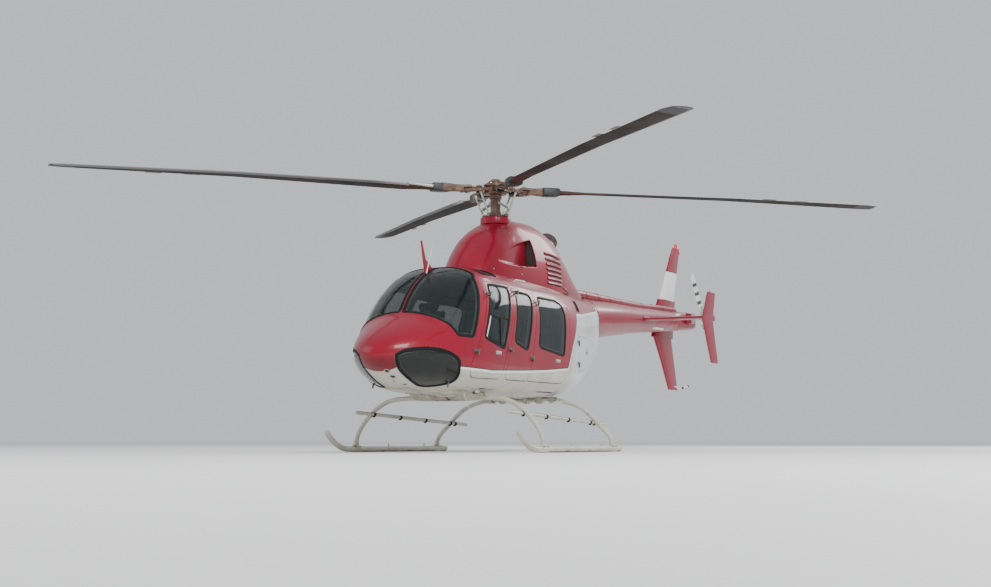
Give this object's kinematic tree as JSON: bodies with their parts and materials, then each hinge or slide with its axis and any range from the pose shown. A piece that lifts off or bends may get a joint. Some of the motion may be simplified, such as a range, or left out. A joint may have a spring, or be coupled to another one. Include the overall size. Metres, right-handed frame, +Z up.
{
  "type": "utility helicopter",
  "caption": "Light single-engine utility helicopter on skids, in red and white rescue livery, with hinged cabin doors and turning rotors.",
  "frame": {"origin": "on the ground under the middle of the whole machine with its rotor; the rotor mast stands 1.697 m ahead of it", "axes": "+X towards the nose, +Y to the machine's left, +Z up"},
  "size_m": [11.2804, 7.756, 3.34],
  "materials": {
    "red_paint": "gloss enamel",
    "white_paint": "gloss enamel, road-dirty",
    "window_glass": "tinted acrylic",
    "blade_skin": "matt composite",
    "gear_paint": "semi-gloss, scuffed",
    "hub_metal": "greasy, weathered",
    "bare_metal": "satin",
    "exhaust_steel": "heat tinted",
    "seat_fabric": "woven",
    "panel_black": "crackle black",
    "striped_blade": "white with black bands"
  },
  "bodies": {
    "airframe": {"nose_shell": "red_paint", "belly_shell": "white_paint", "cabin_frame": "red_paint", "side_panel_right": "red_paint", "aft_fuselage": "white_paint", "side_window_right": "window_glass", "transmission_cowl": "red_paint", "engine_cowl": "red_paint", "exhaust_duct": "exhaust_steel", "engine_block": "bare_metal", "tail_boom": "red_paint", "vertical_fin": "red_paint", "tail_skid": "gear_paint", "tail_gearbox": "bare_metal", "stabiliser": "red_paint", "instrument_panel": "panel_black", "rear_bench": "seat_fabric", "wire_cutter": "red_paint", "mast_base": "bare_metal", "cross_tube_front": "gear_paint", "cross_tube_rear": "gear_paint", "windshield_left": "window_glass", "windshield_right": "window_glass", "chin_window_left": "window_glass", "chin_window_right": "window_glass", "roof_window_left": "window_glass", "roof_window_right": "window_glass", "crew_seat_left": "seat_fabric", "crew_seat_right": "seat_fabric", "finlet_left": "red_paint", "finlet_right": "red_paint", "skid_left": "gear_paint", "skid_right": "gear_paint", "step_left": "gear_paint", "step_right": "gear_paint"},
    "main_rotor": {"rotor_hub": "hub_metal", "main_blade_1": "blade_skin", "main_blade_2": "blade_skin", "main_blade_3": "blade_skin", "main_blade_4": "blade_skin"},
    "tail_rotor": {"tail_rotor_hub": "bare_metal", "tail_blade_1": "striped_blade", "tail_blade_2": "striped_blade"},
    "left_crew_door": {"crew_door_left": "red_paint", "crew_window_left": "window_glass"},
    "right_crew_door": {"crew_door_right": "red_paint", "crew_window_right": "window_glass"},
    "stretcher_door": {"litter_door": "red_paint", "litter_window": "window_glass"},
    "left_passenger_door": {"passenger_door_left": "red_paint", "passenger_window_left": "window_glass"},
    "right_passenger_door": {"passenger_door_right": "red_paint", "passenger_window_right": "window_glass"},
    "luggage_door": {"baggage_door": "white_paint"}
  },
  "joints": [
    {"name": "main_rotor_spin", "type": "hinge", "parent": "airframe", "child": "main_rotor", "pos_m": [1.697, 0, 3.21], "axis": [0, 0, 1], "continuous": true},
    {"name": "tail_rotor_spin", "type": "hinge", "parent": "airframe", "child": "tail_rotor", "pos_m": [-4.843, 0.4, 2.04], "axis": [0, 1, 0], "continuous": true},
    {"name": "left_crew_door_hinge", "type": "hinge", "parent": "airframe", "child": "left_crew_door", "pos_m": [3.3995, 0.727, 1.504], "axis": [0.4705, 0.0496, -0.881], "range_deg": [0, 80]},
    {"name": "right_crew_door_hinge", "type": "hinge", "parent": "airframe", "child": "right_crew_door", "pos_m": [3.3995, -0.727, 1.504], "axis": [-0.4705, 0.0496, 0.881], "range_deg": [0, 80]},
    {"name": "stretcher_door_hinge", "type": "hinge", "parent": "airframe", "child": "stretcher_door", "pos_m": [2.707, 0.7575, 1.546], "axis": [0.3582, 0.0883, -0.9294], "range_deg": [0, 75]},
    {"name": "left_passenger_door_hinge", "type": "hinge", "parent": "stretcher_door", "child": "left_passenger_door", "pos_m": [2.1775, 0.773, 1.3775], "axis": [0.3024, 0.0448, -0.9521], "range_deg": [0, 65]},
    {"name": "right_passenger_door_hinge", "type": "hinge", "parent": "airframe", "child": "right_passenger_door", "pos_m": [2.1775, -0.773, 1.3775], "axis": [-0.3024, 0.0448, 0.9521], "range_deg": [0, 75]},
    {"name": "luggage_door_hinge", "type": "hinge", "parent": "airframe", "child": "luggage_door", "pos_m": [0.797, 0.732, 1.215], "axis": [0, 0, -1], "range_deg": [0, 95]}
  ]
}
